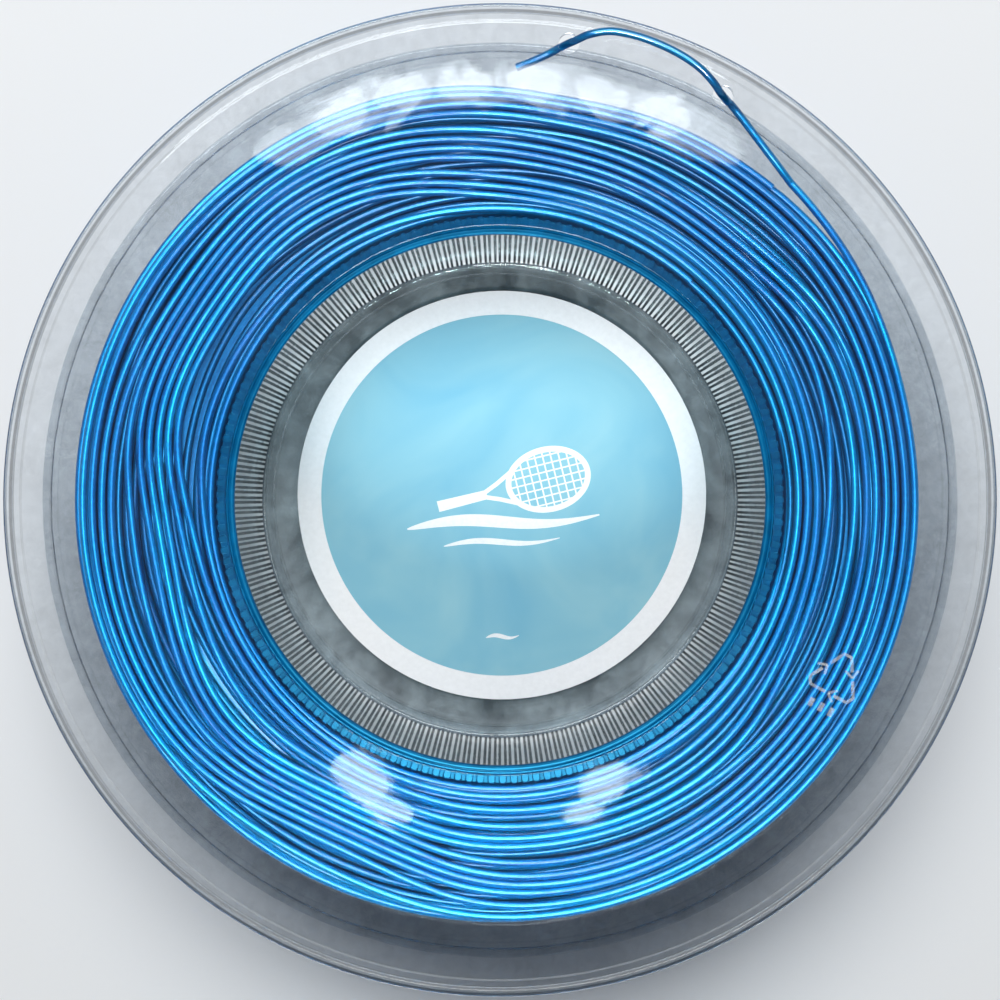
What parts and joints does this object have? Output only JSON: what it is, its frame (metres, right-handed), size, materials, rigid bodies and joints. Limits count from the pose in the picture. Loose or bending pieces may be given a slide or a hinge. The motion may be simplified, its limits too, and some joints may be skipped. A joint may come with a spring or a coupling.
{
  "type": "string reel",
  "caption": "Clear plastic reel of racket string: flanges on a ribbed, cup-shaped core with a round label, a blue monofilament winding, and its end laced through the front flange.",
  "frame": {"origin": "middle of the base, in the plane of the back flange's rim lip", "axes": "+Z along the reel's axis and out of its front face, +Y towards the rim where the string's end is laced"},
  "size_m": [0.152, 0.152, 0.0482],
  "materials": {
    "clear_flange": "clear, glossy",
    "clear_core": "clear, glossy",
    "label_print": "glossy print",
    "string_blue": "pearl, glossy"
  },
  "bodies": {
    "back_half": {"back_flange": "clear_flange"},
    "wound_half": {"core_cup": "clear_core", "front_flange": "clear_flange", "front_label": "label_print", "string_coil": "string_blue", "string_tail": "string_blue"}
  },
  "joints": [
    {"name": "core_pull_off", "type": "slide", "parent": "back_half", "child": "wound_half", "axis": [0, 0, 1], "range_m": [0, 0.03]}
  ]
}
